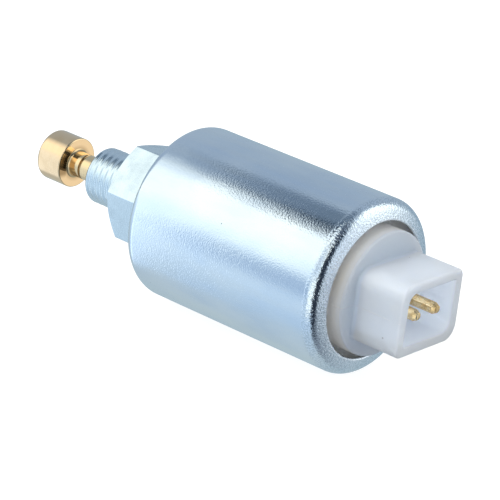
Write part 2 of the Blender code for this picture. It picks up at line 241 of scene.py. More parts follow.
def buildDrawnStreaks():
    tree, given, result = newGroup("drawnStreaks", ("Height", "Mask"), Scale=900.0, Length=0.04)
    squeeze = addNode(tree, "ShaderNodeCombineXYZ", {"X": given["Length"], "Y": 1.0, "Z": 1.0})
    drawn = stretched(tree, given["Vector"], squeeze.outputs[0])
    streaks = noiseOf(tree, drawn, given["Scale"], 3.0, 0.6)
    return putOut(tree, result, streaks, 0.35, 0.65)


fineGrain = buildFineGrain()
softClouds = buildSoftClouds()
tinySpecks = buildTinySpecks()
turnedRings = buildTurnedRings()
drawnStreaks = buildDrawnStreaks()
print("shared effects ready")


# finishes

def newMaterial(name, metallic=0.0):
    made = bpy.data.materials.new(name)
    made.use_nodes = True
    tree = made.node_tree
    shader = tree.nodes["Principled BSDF"]
    shader.inputs["Metallic"].default_value = metallic
    where = tree.nodes.new("ShaderNodeTexCoord").outputs["Object"]
    return made, tree, shader.inputs, where


def setInputs(inputs, values):
    for name, value in values.items():
        inputs[name].default_value = value


def roughOf(tree, value, low, high, mask, more):
    # from low to high with the value, and a little more under the mask
    return mathOf(tree, "MULTIPLY_ADD", mask, more, spread(tree, value, 0.0, 1.0, low, high))


def cloudsOf(tree, where, look, **edges):
    return useGroup(tree, softClouds, where, look["cloudScale"], **edges)["Mask"]


def dress(tree, inputs, color, roughness, normal):
    tree.links.new(color, inputs["Base Color"])
    tree.links.new(roughness, inputs["Roughness"])
    tree.links.new(normal, inputs["Normal"])


# In the looks, a pair of lengths is where a tint, mark or glow comes in or goes out, along X
# unless its name says otherwise.
zincCase = {
    "pale": (0.80, 0.86, 0.89), "blue": (0.68, 0.77, 0.86), "warm": (0.80, 0.82, 0.78),
    "speck": (0.13, 0.15, 0.18), "rimDull": (0.78, 0.83, 0.89), "rimDark": (0.30, 0.35, 0.41),
    "warmShare": 0.22, "blueShare": 0.2, "dullShare": 0.8, "sandShare": 0.32,
    "smooth": 0.08, "rough": 0.14, "grainRough": 0.05, "lipRough": 0.10,
    "cloudScale": 190.0, "cloudStretch": (0.45, 1, 1), "speckScale": 420.0, "specks": 0.11,
    "streakScale": 700.0, "streakLength": 0.06, "streakDepth": 0.000006,
    "grainScale": 4500.0, "grainDepth": 0.000017, "calmGrain": 0.4, "calmEnd": (0.0100, 0.0240),
    "rimEdge": (0.0391, 0.0400), "lipRadii": (0.0108, 0.0114), "rimGrain": 1.5,
    "sandScale": 5200.0, "sandEdges": (0.40, 0.66),
    "markScale": 3000.0, "markAcross": 0.012, "markAlong": 0.30, "markDepth": 0.000035,
}


def makeCaseZinc(look):
    made, tree, inputs, where = newMaterial("caseZinc", 1.0)
    parts = partsOf(tree, where)
    along = stretched(tree, where, look["cloudStretch"])
    clouds = cloudsOf(tree, along, look)
    streaks = useGroup(tree, drawnStreaks, where, look["streakScale"], Length=look["streakLength"])
    grain = useGroup(tree, fineGrain, where, look["grainScale"])
    specks = useGroup(tree, tinySpecks, where, look["speckScale"], Share=look["specks"])["Mask"]

    # the rolled rim is coarser, with fine marks that run across the roll
    radius = radiusOf(tree, parts)
    onRim = spread(tree, parts[0], *look["rimEdge"])
    onLip = times(tree, onRim, fade(tree, radius, look["lipRadii"]))
    travel = mathOf(tree, "SUBTRACT", parts[0], radius)
    unrolled = addNode(tree, "ShaderNodeCombineXYZ", {
        "X": times(tree, angleOf(tree, parts), look["markAcross"]),
        "Y": times(tree, travel, look["markAlong"]),
    }).outputs[0]
    marks = noiseOf(tree, unrolled, look["markScale"], 1.0)
    sand = spread(tree, noiseOf(tree, where, look["sandScale"], 0.0), *look["sandEdges"])

    color = mixOf(tree, clouds, look["blue"], look["pale"])
    color = tinted(tree, color, look["warm"], streaks["Mask"], look["warmShare"])
    color = tinted(tree, color, look["blue"], grain["Mask"], look["blueShare"])
    color = tinted(tree, color, look["rimDull"], onLip, look["dullShare"])
    color = tinted(tree, color, look["rimDark"], times(tree, onRim, sand), look["sandShare"])
    color = mixOf(tree, specks, color, look["speck"])
    rough = roughOf(tree, clouds, look["rough"], look["smooth"], grain["Mask"], look["grainRough"])
    rough = mathOf(tree, "MULTIPLY_ADD", onLip, look["lipRough"], rough)
    calm = spread(tree, parts[0], *look["calmEnd"], look["calmGrain"], 1.0)
    strength = mathOf(tree, "MULTIPLY_ADD", onRim, look["rimGrain"], calm)
    grained = bumpOf(tree, times(tree, grain["Height"], strength), look["grainDepth"])
    marked = bumpOf(tree, times(tree, marks, onRim), look["markDepth"], grained)
    pulled = bumpOf(tree, streaks["Height"], look["streakDepth"], marked)
    dress(tree, inputs, color, rough, pulled)
    return made


zincFitting = {
    "pale": (0.72, 0.82, 0.86), "grey": (0.60, 0.69, 0.73), "edge": (0.86, 0.92, 0.95),
    "edgeShare": 0.18, "greyShare": 0.10, "smooth": 0.16, "rough": 0.26, "grainRough": 0.05,
    "cloudScale": 320.0, "grainScale": 4800.0, "grainDepth": 0.000005,
    "ringScale": 3800.0, "ringDepth": 0.000003,
}


def makeFittingZinc(look):
    made, tree, inputs, where = newMaterial("fittingZinc", 1.0)
    clouds = cloudsOf(tree, where, look)
    grain = useGroup(tree, fineGrain, where, look["grainScale"])
    rings = useGroup(tree, turnedRings, where, look["ringScale"])
    color = mixOf(tree, clouds, look["grey"], look["pale"])
    color = tinted(tree, color, look["edge"], rings["Mask"], look["edgeShare"])
    color = tinted(tree, color, look["grey"], grain["Mask"], look["greyShare"])
    rough = roughOf(tree, clouds, look["rough"], look["smooth"], grain["Mask"], look["grainRough"])
    grained = bumpOf(tree, grain["Height"], look["grainDepth"])
    turned = bumpOf(tree, rings["Height"], look["ringDepth"], grained)
    dress(tree, inputs, color, rough, turned)
    return made


milkyNylon = {
    "milk": (0.80, 0.85, 0.91), "thin": (0.77, 0.83, 0.90), "cream": (0.80, 0.82, 0.82),
    "faceTint": (0.78, 0.86, 0.99), "line": (0.86, 0.88, 0.90), "speck": (0.22, 0.21, 0.20),
    # the glow colours below are painted glow, light that the nylon gives out of its own
    "glow": (0.10, 0.12, 0.16), "paintedSideGlow": (0.068, 0.060, 0.050),
    "paintedFaceGlow": (0.02, 0.04, 0.08), "paintedRimGlow": (0.05, 0.05, 0.045),
    "behindFace": (0.0418, 0.0424), "creamBehind": 0.9, "lowHeights": (-0.0048, -0.0015),
    "creamLow": 0.30, "faceIn": (0.0426, 0.0429), "faceOut": (0.0432, 0.0440), "faceShare": 0.8,
    "sideIn": (0.0394, 0.0406), "sideOut": (0.0424, 0.0429), "rimIn": (0.05005, 0.05045),
    "socketIn": (0.0421, 0.0422), "socketWidths": (0.0049, 0.0055),
    "socketHeights": (0.0037, 0.0043), "sideFace": 0.0059, "lineHeights": (0.00003, 0.00009),
    "lineShare": 0.7, "lineDepth": 0.00003, "breakScale": 900.0, "breakEdges": (0.42, 0.56),
    "breakStretch": (1, 0.1, 0.1), "cloudScale": 230.0, "cloudHigh": 0.72, "specks": 0.09,
    "speckScale": 520.0, "speckShare": 0.75, "grainScale": 2600.0, "grainDepth": 0.000004,
    "smooth": 0.42, "rough": 0.54,
}
nylonBody = {
    "Subsurface Weight": 1.0, "Subsurface Radius": (1.0, 1.0, 1.05), "Subsurface Scale": 0.0035,
    "Transmission Weight": 0.45, "IOR": 1.53, "Emission Strength": 1.0,
}


def makeMilkyNylon(look, body):
    made, tree, inputs, where = newMaterial("milkyNylon")
    parts = partsOf(tree, where)
    sideways = mathOf(tree, "ABSOLUTE", parts[1])
    level = mathOf(tree, "ABSOLUTE", parts[2])
    clouds = cloudsOf(tree, where, look, High=look["cloudHigh"])
    specks = useGroup(tree, tinySpecks, where, look["speckScale"], Share=look["specks"])["Mask"]
    grain = useGroup(tree, fineGrain, where, look["grainScale"])
    color = mixOf(tree, clouds, look["thin"], look["milk"])
    behind = fade(tree, parts[0], look["behindFace"], look["creamBehind"])
    color = mixOf(tree, behind, color, look["cream"])
    onFace = between(tree, parts[0], look["faceIn"], look["faceOut"], look["faceShare"])
    color = mixOf(tree, onFace, color, look["faceTint"])
    low = fade(tree, parts[2], look["lowHeights"], look["creamLow"])
    color = mixOf(tree, low, color, look["cream"])

    # the mould's parting line at mid-height on both sides, broken here and there
    onLine = fade(tree, level, look["lineHeights"])
    outside = mathOf(tree, "GREATER_THAN", sideways, look["sideFace"])
    drawn = stretched(tree, where, look["breakStretch"])
    broken = spread(tree, noiseOf(tree, drawn, look["breakScale"]), *look["breakEdges"])
    seam = times(tree, times(tree, onLine, outside), broken)
    color = tinted(tree, color, look["line"], seam, look["lineShare"])
    color = tinted(tree, color, look["speck"], specks, look["speckShare"])

    # painted glow: the nylon gives out light of its own in the socket and on the hub and front
    # rim, standing in for the light that the thin walls let through
    within = spread(tree, parts[0], *look["socketIn"])
    within = times(tree, within, fade(tree, sideways, look["socketWidths"]))
    within = times(tree, within, fade(tree, level, look["socketHeights"]))
    onSide = between(tree, parts[0], look["sideIn"], look["sideOut"])
    onRim = spread(tree, parts[0], *look["rimIn"])
    paintedGlow = mixOf(tree, within, (0.0, 0.0, 0.0), look["glow"])
    for mask, glow in ((onSide, "paintedSideGlow"), (onFace, "paintedFaceGlow"), (onRim, "paintedRimGlow")):
        paintedGlow = mixOf(tree, mask, paintedGlow, look[glow])
    tree.links.new(paintedGlow, inputs["Emission Color"])

    rough = spread(tree, clouds, 0.0, 1.0, look["smooth"], look["rough"])
    flowed = bumpOf(tree, grain["Height"], look["grainDepth"])
    dress(tree, inputs, color, rough, bumpOf(tree, seam, look["lineDepth"], flowed))
    setInputs(inputs, body)
    return made


pinBrass = {
    "bright": (0.86, 0.68, 0.40), "dull": (0.72, 0.49, 0.22), "dark": (0.12, 0.08, 0.04),
    "stainAndShade": (0.40, 0.23, 0.08), "smooth": 0.16, "rough": 0.28, "streakRough": 0.06,
    "middle": 0.0020, "seamEdges": (0.00002, 0.00006), "seamShare": 0.8, "seamDepth": 0.00003,
    "stainScale": 5600.0, "stainEdges": (0.54, 0.66), "stainAndShadeHeights": (-0.0006, 0.0003),
    "stainAndShadeBelow": 0.75, "stainAndShadeAbove": 0.08, "cloudScale": 900.0, "cloudEdges": (0.35, 0.68),
    "streakScale": 5200.0, "streakLength": 0.1, "streakDepth": 0.000003,
}


def makePinBrass(look):
    made, tree, inputs, where = newMaterial("pinBrass", 1.0)
    parts = partsOf(tree, where)
    low, high = look["cloudEdges"]
    clouds = cloudsOf(tree, where, look, Low=low, High=high)
    streaks = useGroup(tree, drawnStreaks, where, look["streakScale"], Length=look["streakLength"])
    fromMiddle = mathOf(tree, "SUBTRACT", mathOf(tree, "ABSOLUTE", parts[1]), look["middle"])
    seam = fade(tree, mathOf(tree, "ABSOLUTE", fromMiddle), look["seamEdges"])
    stains = spread(tree, noiseOf(tree, where, look["stainScale"], 1.0), *look["stainEdges"])
    # the brown speckles are laid on far more heavily underneath: real staining plus painted shade
    # on the pin's underside
    under = spread(tree, parts[2], *look["stainAndShadeHeights"], look["stainAndShadeBelow"], look["stainAndShadeAbove"])
    color = mixOf(tree, clouds, look["bright"], look["dull"])
    color = tinted(tree, color, look["stainAndShade"], stains, under)
    color = tinted(tree, color, look["dark"], seam, look["seamShare"])
    rough = roughOf(
        tree, clouds, look["smooth"], look["rough"], streaks["Mask"], look["streakRough"])
    drawn = bumpOf(tree, streaks["Height"], look["streakDepth"])
    groove = bumpOf(tree, times(tree, seam, -1.0), look["seamDepth"], drawn)
    dress(tree, inputs, color, rough, groove)
    return made


tipBrass = {
    "bright": (0.93, 0.67, 0.41), "deep": (0.89, 0.62, 0.36), "gold": (0.90, 0.66, 0.37),
    # the dark brown is painted shade in the corner and the groove, and a painted dark reflection
    # beside the neck
    "shadeAndReflectionBrown": (0.28, 0.17, 0.07), "deepShare": 0.12, "goldShare": 0.8,
    "smooth": 0.05, "rough": 0.09, "ringRough": 0.03, "ringScale": 5200.0,
    "ringDepth": 0.0000012, "cloudScale": 500.0, "cloudLow": 0.35,
    "behindHead": (-0.0123, -0.01222), "headFace": (-0.0121, -0.0118),
    "cornerRadii": (0.0021, 0.0028), "cornerShare": 0.4, "reflectionSides": (-0.0022, -0.0014),
    "reflectionHeights": (0.0010, 0.0019), "reflectionShare": 0.8,
    "grooveIn": (-0.0104, -0.0102), "grooveOut": (-0.00995, -0.00975), "grooveShare": 0.85,
}


def makeTipBrass(look):
    made, tree, inputs, where = newMaterial("tipBrass", 1.0)
    clouds = cloudsOf(tree, where, look, Low=look["cloudLow"])
    rings = useGroup(tree, turnedRings, where, look["ringScale"])
    parts = partsOf(tree, where)
    behind = spread(tree, parts[0], *look["behindHead"])
    color = mixOf(tree, clouds, look["bright"], look["deep"])
    color = tinted(tree, color, look["deep"], rings["Mask"], look["deepShare"])
    color = tinted(tree, color, look["gold"], behind, look["goldShare"])

    # painted shade in brown in the corner behind the head and in the neck's groove, and a painted
    # dark reflection beside the neck behind the head
    corner = fade(tree, radiusOf(tree, parts), look["cornerRadii"], look["cornerShare"])
    beside = times(
        tree, fade(tree, parts[1], look["reflectionSides"], look["reflectionShare"]),
        fade(tree, mathOf(tree, "ABSOLUTE", parts[2]), look["reflectionHeights"]))
    patch = times(tree, behind, mathOf(tree, "MAXIMUM", corner, beside))
    onHead = times(tree, patch, fade(tree, parts[0], look["headFace"]))
    inGroove = between(tree, parts[0], look["grooveIn"], look["grooveOut"], look["grooveShare"])
    brown = mathOf(tree, "MAXIMUM", onHead, inGroove)
    color = mixOf(tree, brown, color, look["shadeAndReflectionBrown"])
    rough = roughOf(tree, clouds, look["smooth"], look["rough"], rings["Mask"], look["ringRough"])
    dress(tree, inputs, color, rough, bumpOf(tree, rings["Height"], look["ringDepth"]))
    return made


turnedLook = {
    "cloudScale": 400.0, "grainScale": 6000.0, "grainDepth": 0.000002, "grainRough": 0.08,
    "ringShare": 0.25, "ringRough": 0.10,
}
mouldedLook = {"cloudScale": 350.0, "wornShare": 0.3, "grainRough": 0.12}
copperLook = {
    "bright": (0.80, 0.36, 0.19), "dark": (0.42, 0.15, 0.07), "turnWidth": 0.00028,
    "cloudScale": 700.0, "smooth": 0.22, "rough": 0.34,
}


def makeTurnedMetal(name, bright, dull, roughness, ringScale, depth):
    made, tree, inputs, where = newMaterial(name, 1.0)
    look = turnedLook
    clouds = cloudsOf(tree, where, look)
    rings = useGroup(tree, turnedRings, where, ringScale)
    grain = useGroup(tree, fineGrain, where, look["grainScale"])
    color = mixOf(tree, clouds, bright, dull)
    color = tinted(tree, color, dull, rings["Mask"], look["ringShare"])
    rougher = roughness + look["grainRough"]
    rough = roughOf(tree, grain["Mask"], roughness, rougher, rings["Mask"], look["ringRough"])
    ringed = bumpOf(tree, rings["Height"], depth)
    dress(tree, inputs, color, rough, bumpOf(tree, grain["Height"], look["grainDepth"], ringed))
    return made


def makeMoulded(name, color, worn, roughness, grainScale, depth):
    made, tree, inputs, where = newMaterial(name)
    look = mouldedLook
    clouds = cloudsOf(tree, where, look)
    grain = useGroup(tree, fineGrain, where, grainScale)
    tint = mixOf(tree, clouds, color, worn)
    tint = tinted(tree, tint, worn, grain["Mask"], look["wornShare"])
    rough = spread(tree, grain["Mask"], 0.0, 1.0, roughness, roughness + look["grainRough"])
    dress(tree, inputs, tint, rough, bumpOf(tree, grain["Height"], depth))
    return made


def makeCopperTurns(look):
    # round turns side by side along X, with painted shade in the hollows between them
    made, tree, inputs, where = newMaterial("copperTurns", 1.0)
    parts = partsOf(tree, where)
    clouds = cloudsOf(tree, where, look)
    phase = mathOf(tree, "FRACT", mathOf(tree, "DIVIDE", parts[0], look["turnWidth"]))
    fromMiddle = mathOf(tree, "SUBTRACT", times(tree, phase, 2.0), 1.0)
    fallen = inverse(tree, times(tree, fromMiddle, fromMiddle))
    crown = mathOf(tree, "SQRT", fallen, clamp=True)
    color = mixOf(tree, clouds, look["bright"], look["dark"])
    # painted shade: the copper goes dark in the hollows between the turns
    color = mixOf(tree, inverse(tree, crown), color, look["dark"])
    rough = spread(tree, clouds, 0.0, 1.0, look["smooth"], look["rough"])
    dress(tree, inputs, color, rough, bumpOf(tree, crown, look["turnWidth"] / 2))
    return made


caseZinc = makeCaseZinc(zincCase)
fittingZinc = makeFittingZinc(zincFitting)
nylon = makeMilkyNylon(milkyNylon, nylonBody)
pinMetal = makePinBrass(pinBrass)
tipMetal = makeTipBrass(tipBrass)
innerFinishes = {
    "bare_steel": makeTurnedMetal(
        "bareSteel", (0.52, 0.53, 0.54), (0.36, 0.36, 0.37), 0.28, 4200.0, 0.000004),
    "tube_brass": makeTurnedMetal(
        "tubeBrass", (0.80, 0.62, 0.34), (0.62, 0.46, 0.22), 0.24, 5200.0, 0.000002),
    "bobbin_plastic": makeMoulded(
        "bobbinPlastic", (0.05, 0.05, 0.055), (0.09, 0.09, 0.095), 0.42, 3200.0, 0.000005),
    "polyester_film": makeMoulded(
        "amberFilm", (0.70, 0.50, 0.14), (0.78, 0.62, 0.26), 0.20, 1800.0, 0.000002),
    "black_rubber": makeMoulded(
        "blackRubber", (0.022, 0.022, 0.024), (0.05, 0.05, 0.05), 0.60, 4200.0, 0.000006),
    "copper_wire": makeCopperTurns(copperLook),
}
for part in frame["record"]["subparts"]:
    finish = innerFinishes.get(part["material_slot"])
    if finish:
        slots = frame["nodes"][part["node"]].data.materials
        slots.clear()
        slots.append(finish)
print("finishes ready:", len(bpy.data.materials))


# mesh tools: a piece is a row of closed loops, each a list of points with the same count

def circleLoops(profile, angles):
    return [[(x, -r * sin(a), r * cos(a)) for a in angles] for x, r in profile]


def evenAngles(count):
    return [2 * pi * i / count for i in range(count)]


def arcProfile(station, radius, bend, start, end, steps):
    turns = [radians(start + (end - start) * i / steps) for i in range(steps + 1)]
    return [(station + bend * sin(a), radius + bend * cos(a)) for a in turns]


def joinArcs(arcs, steps):
    # runs of straight steps from each arc's end to the next arc's start, all the way round
    outline = []
    for arc, following in zip(arcs, arcs[1:] + arcs[:1]):
        outline += arc
        (x1, y1), (x2, y2) = arc[-1], following[0]
        for i in range(1, steps):
            t = i / steps
            outline.append((x1 + (x2 - x1) * t, y1 + (y2 - y1) * t))
    return outline


def addObject(name, data):
    made = bpy.data.objects.new(name, data)
    bpy.context.scene.collection.objects.link(made)
    return made


def shellOf(name, loops, material, closed=False, sharpAngle=32):
    shape = bmesh.new()
    rows = [[shape.verts.new(point) for point in loop] for loop in loops]
    pairs = list(zip(rows, rows[1:]))
    if closed:
        pairs.append((rows[-1], rows[0]))
    else:
        shape.faces.new(rows[0])
        shape.faces.new(rows[-1])
    for first, second in pairs:
        for i in range(len(first)):
            j = (i + 1) % len(first)
            shape.faces.new((first[i], first[j], second[j], second[i]))
    bmesh.ops.recalc_face_normals(shape, faces=shape.faces)
    data = bpy.data.meshes.new(name)
    shape.to_mesh(data)
    shape.free()
    data.materials.append(material)
    data.shade_smooth()
    data.set_sharp_from_angle(angle=radians(sharpAngle))
    return addObject(name, data)


def settle(piece, node, body):
    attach(piece, body)
    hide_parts(node)


# the drawn can, with its mouth rolled in

canSizes = {
    "turns": 192, "wall": 0.0010, "floor": 0.0012, "spigotHole": 0.0056, "frontRound": 0.00175,
    "frontSteps": 14, "rimRound": 0.00167, "rimSteps": 16, "rimProud": 0.00015, "lipLean": 17,
    "lipWidth": 0.00268, "lipNose": 0.00022, "noseSteps": 12, "lipThickness": 0.0010,
    "innerSteps": 4,
}


def makeCan(sizes):
    low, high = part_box("case")
    outer = high.z
    inside = outer - sizes["wall"]
    nose = sizes["lipNose"]
    floorTop = low.x + sizes["floor"]
    front = sizes["frontRound"]
    innerRound = front - sizes["wall"]
    rim = sizes["rimRound"]
    hole = sizes["spigotHole"]

    # the lip has sprung back, so its inner edge stands furthest out
    lean = sizes["lipLean"]
    bend = arcProfile(
        high.x + sizes["rimProud"] - rim, outer - rim, rim, 90 - lean, 0, sizes["rimSteps"])
    noseRadius = outer - sizes["lipWidth"] + nose
    rise = (bend[0][1] - noseRadius - nose * sin(radians(lean))) * tan(radians(lean))
    noseStation = bend[0][0] + rise - nose * cos(radians(lean))
    profile = [
        *arcProfile(noseStation, noseRadius, nose, 270, 90 - lean, sizes["noseSteps"]),
        *bend,
        *arcProfile(low.x + front, outer - front, front, 0, -90, sizes["frontSteps"]),
        (low.x, hole), (floorTop, hole),
        *arcProfile(
            floorTop + innerRound, inside - innerRound, innerRound, -90, 0, sizes["innerSteps"]),
        (high.x - sizes["lipThickness"], inside),
    ]
    loops = circleLoops(profile, evenAngles(sizes["turns"]))
    return shellOf("can", loops, caseZinc, closed=True)


can = makeCan(canSizes)
print("can ready")


# hexagon, threaded stub and spigot

fittingSizes = {
    "flat": 0.0065, "height": 0.0080, "turn": radians(18.7), "cornerRound": 0.00016,
    "faceInset": 0.0002, "chamfer": radians(30), "rearBevel": 0.00012, "cornerSteps": 6,
    "flatSteps": 25, "threadRadius": 0.0040, "threadStart": -0.0001, "threadEnd": -0.0070,
    "endRound": 0.0007, "endSteps": 8, "rowsPerTurn": 14, "neckBore": 0.0023, "boreBevel": 0.0001,
    "plungerBore": 0.0036, "plungerSeat": 0.0040, "tubeBore": 0.0043, "tubeSeat": 0.0086,
    "spigot": 0.0053, "seatBevel": 0.00008, "seatRings": ((0.00002, 0.00002), (0, -0.00005)),
    "footRings": ((0, 0.00012), (-0.00004, 0.00003)), "sharpAngle": 38,
}
threadSizes = {
    "Pitch": 0.0010, "Depth": 0.00010, "Crest": 0.05, "Radius": 0.0040, "Runout": 0.0009,
    "Root": 0.95, "Start": -0.00015, "End": -0.00695, "Wear": 0.000008, "WearScale": 1800.0,
    "Seed": 7,
}


def hexOutline(sizes):
    # the hexagon with softened corners, as (angle, radius) pairs going round
    arcs = []
    middle = (sizes["flat"] - sizes["cornerRound"]) / cos(pi / 6)
    for corner in range(6):
        facing = sizes["turn"] + corner * pi / 3
        arc = []
        for i in range(sizes["cornerSteps"] + 1):
            a = facing - pi / 6 + pi / 3 * i / sizes["cornerSteps"]
            arc.append((
                middle * sin(facing) + sizes["cornerRound"] * sin(a),
                middle * cos(facing) + sizes["cornerRound"] * cos(a),
            ))
        arcs.append(arc)
    return [(atan2(x, y), hypot(x, y)) for x, y in joinArcs(arcs, sizes["flatSteps"])]


def newGeometryTree(name, numbers, whole):
    tree = bpy.data.node_groups.new(name, "GeometryNodeTree")
    kinds = [("Geometry", "Geometry"), *((label, "Float") for label in numbers)]
    kinds += [(whole, "Int"), ("Material", "Material")]
    for label, kind in kinds:
        tree.interface.new_socket(label, in_out="INPUT", socket_type=f"NodeSocket{kind}")
    tree.interface.new_socket("Geometry", in_out="OUTPUT", socket_type="NodeSocketGeometry")
    return tree, tree.nodes.new("NodeGroupInput").outputs


def closeTree(tree, geometry, material):
    # every tree ends with real geometry that carries its material
    real = addNode(tree, "GeometryNodeRealizeInstances", {"Geometry": geometry}).outputs[0]
    inputs = {"Geometry": real, "Material": material}
    painted = addNode(tree, "GeometryNodeSetMaterial", inputs).outputs[0]
    addNode(tree, "NodeGroupOutput", {"Geometry": painted})


def buildThreadTurns():
    # pushes the stub's skin in between the crests of a right-hand thread round X
    tree, given = newGeometryTree("threadTurns", (
        "Pitch", "Depth", "Crest", "Root", "Radius", "Runout", "Start", "End", "Wear", "WearScale",
    ), "Seed")
    place = tree.nodes.new("GeometryNodeInputPosition").outputs[0]
    parts = partsOf(tree, place)
    radius = radiusOf(tree, parts)
    turned = mathOf(tree, "DIVIDE", mathOf(tree, "ARCTAN2", parts[2], parts[1]), 2 * pi)
    phase = mathOf(tree, "FRACT", mathOf(
        tree, "SUBTRACT", mathOf(tree, "DIVIDE", parts[0], given["Pitch"]), turned))
    fromCrest = inverse(tree, mathOf(
        tree, "ABSOLUTE", mathOf(tree, "SUBTRACT", times(tree, phase, 2.0), 1.0)))
    groove = spread(tree, fromCrest, given["Crest"], given["Root"])
    runoutEnd = mathOf(tree, "SUBTRACT", given["Start"], given["Runout"])
    started = inverse(tree, spread(tree, parts[0], runoutEnd, given["Start"]))
    worn = addNode(tree, "ShaderNodeTexNoise", {
        "Vector": place, "W": given["Seed"], "Scale": given["WearScale"], "Detail": 2.0,
    }, noise_dimensions="4D").outputs["Fac"]
    depth = times(tree, times(tree, given["Depth"], groove), started)
    depth = mathOf(tree, "MULTIPLY_ADD", times(tree, given["Wear"], worn), started, depth)
    cutTo = mathOf(tree, "SUBTRACT", given["Radius"], depth)
    wanted = mathOf(tree, "MINIMUM", radius, cutTo)
    ratio = mathOf(tree, "DIVIDE", wanted, radius)
    moved = addNode(tree, "ShaderNodeCombineXYZ", {
        "X": parts[0], "Y": times(tree, parts[1], ratio), "Z": times(tree, parts[2], ratio),
    }).outputs[0]
    # the skin lies well outside the bores, which stay as they are
    onSkin = mathOf(tree, "GREATER_THAN", radius, times(tree, given["Radius"], 0.8))
    before = mathOf(tree, "LESS_THAN", parts[0], given["Start"])
    after = mathOf(tree, "GREATER_THAN", parts[0], given["End"])
    chosen = times(tree, onSkin, times(tree, before, after))
    shaped = addNode(tree, "GeometryNodeSetPosition", {
        "Geometry": given["Geometry"], "Selection": chosen, "Position": moved,
    }).outputs[0]
    closeTree(tree, shaped, given["Material"])
    return tree


def runTree(piece, tree, values):
    # runs a geometry tree on a piece and leaves a plain mesh
    step = piece.modifiers.new(tree.name, "NODES")
    step.node_group = tree
    for item in tree.interface.items_tree:
        if item.in_out == "INPUT" and item.name in values:
            step[item.identifier] = values[item.name]
    graph = bpy.context.evaluated_depsgraph_get()
    plain = bpy.data.meshes.new_from_object(piece.evaluated_get(graph))
    piece.modifiers.remove(step)
    old = piece.data
    piece.data = plain
    bpy.data.meshes.remove(old)
    return piece


def makeFitting(sizes, thread):
    outline = hexOutline(sizes)
    angles = [a for a, radius in outline]
    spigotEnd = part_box("hex_fitting")[1].x
    faceRadius = sizes["flat"] - sizes["faceInset"]

    def hexLoop(station, inset=0.0):
        shrink = 1 - inset / sizes["flat"]
        return [(station, -r * shrink * sin(a), r * shrink * cos(a)) for a, r in outline]

    def chamferLoop(shift):
        lean = tan(sizes["chamfer"])
        return [
            (max(r - faceRadius, 0) * lean + shift, -r * sin(a), r * cos(a)) for a, r in outline
        ]

    top = sizes["height"]
    skin = sizes["threadRadius"]
    rowGap = thread["Pitch"] / sizes["rowsPerTurn"]
    threadStart, tail = sizes["threadStart"], sizes["threadEnd"]
    endRound, bevel = sizes["endRound"], sizes["boreBevel"]
    rows = int((threadStart - tail - endRound) / rowGap)
    plungerSeat, tubeSeat = sizes["plungerSeat"], sizes["tubeSeat"]
    neck, wide, tube = sizes["neckBore"], sizes["plungerBore"], sizes["tubeBore"]

    # the seat with a hair of bevel, the stub with a hair of fillet at its foot, and the bores
    profile = [(x, faceRadius + more) for x, more in sizes["seatRings"]]
    profile += [(x, skin + more) for x, more in sizes["footRings"]]
    profile += [(threadStart - i * rowGap, skin) for i in range(rows)]
    profile += arcProfile(tail + endRound, skin - endRound, endRound, 0, -90, sizes["endSteps"])
    profile += [
        (tail, neck + bevel), (tail + bevel, neck), (plungerSeat, neck), (plungerSeat, wide),
        (tubeSeat, wide), (tubeSeat, tube), (spigotEnd, tube),
    ]
    loops = [
        *circleLoops([(spigotEnd, sizes["spigot"]), (top, sizes["spigot"])], angles),
        hexLoop(top, sizes["rearBevel"]),
        hexLoop(top - sizes["rearBevel"]),
        chamferLoop(sizes["seatBevel"]),
        *circleLoops(profile, angles),
    ]
    made = shellOf("hexFitting", loops, fittingZinc, closed=True, sharpAngle=sizes["sharpAngle"])
    return runTree(made, buildThreadTurns(), {**thread, "Material": fittingZinc})


fitting = makeFitting(fittingSizes, threadSizes)
print("hexagon and thread ready")


# moulded connector

mouldSizes = {
    "halfWidth": 0.0061, "halfHeight": 0.0049, "broadCorner": 0.0021, "smallCorner": 0.0010,
    "wall": 0.00135, "socketBroad": 0.0014, "socketSmall": 0.0003, "rimRound": 0.0003,
    "mouthRound": 0.00022, "floorRound": 0.0003, "baseFillet": 0.00022, "hubRadius": 0.0085,
    "hubRound": 0.0003, "hubFace": 0.0430, "flangeTop": 0.0397, "flangeBottom": 0.0381,
    "flangeRadius": 0.0107, "skirtRadius": 0.0089, "recessRadius": 0.0079,
    "recessRoof": 0.0375, "socketFloor": 0.04205, "hubFillet": 0.00015, "cornerSteps": 8,
    "sideSteps": 28, "edgeSteps": 8, "bendSteps": 6, "mouthSteps": 5, "floorSteps": 4,
}


def shroudOutline(sizes, inset):
    # the box's outline, moved in by inset; corners blend from the outside's radii to the socket's
    share = min(max(inset / sizes["wall"], 0), 1)
    halfWidth = sizes["halfWidth"] - inset
    halfHeight = sizes["halfHeight"] - inset
    outward = max(-inset, 0)
    broad = sizes["broadCorner"] * (1 - share) + sizes["socketBroad"] * share + outward
    small = sizes["smallCorner"] * (1 - share) + sizes["socketSmall"] * share + outward
    corners = []
    for number, (sideA, sideB, radius) in enumerate(
        ((1, 1, broad), (1, -1, small), (-1, -1, broad), (-1, 1, small))
    ):
        arc = []
        for i in range(sizes["cornerSteps"] + 1):
            t = pi / 2 * (number + i / sizes["cornerSteps"])
            arc.append((
                sideA * (halfWidth - radius) + radius * sin(t),
                sideB * (halfHeight - radius) + radius * cos(t),
            ))
        corners.append(arc)
    return joinArcs(corners, sizes["sideSteps"])


def quarterTurn(steps):
    # pairs along a quarter circle: closing goes from 1 to 0 while opening goes from 0 to 1
    turns = [pi / 2 * i / steps for i in range(steps + 1)]
    return [(1 - sin(t), 1 - cos(t)) for t in turns]


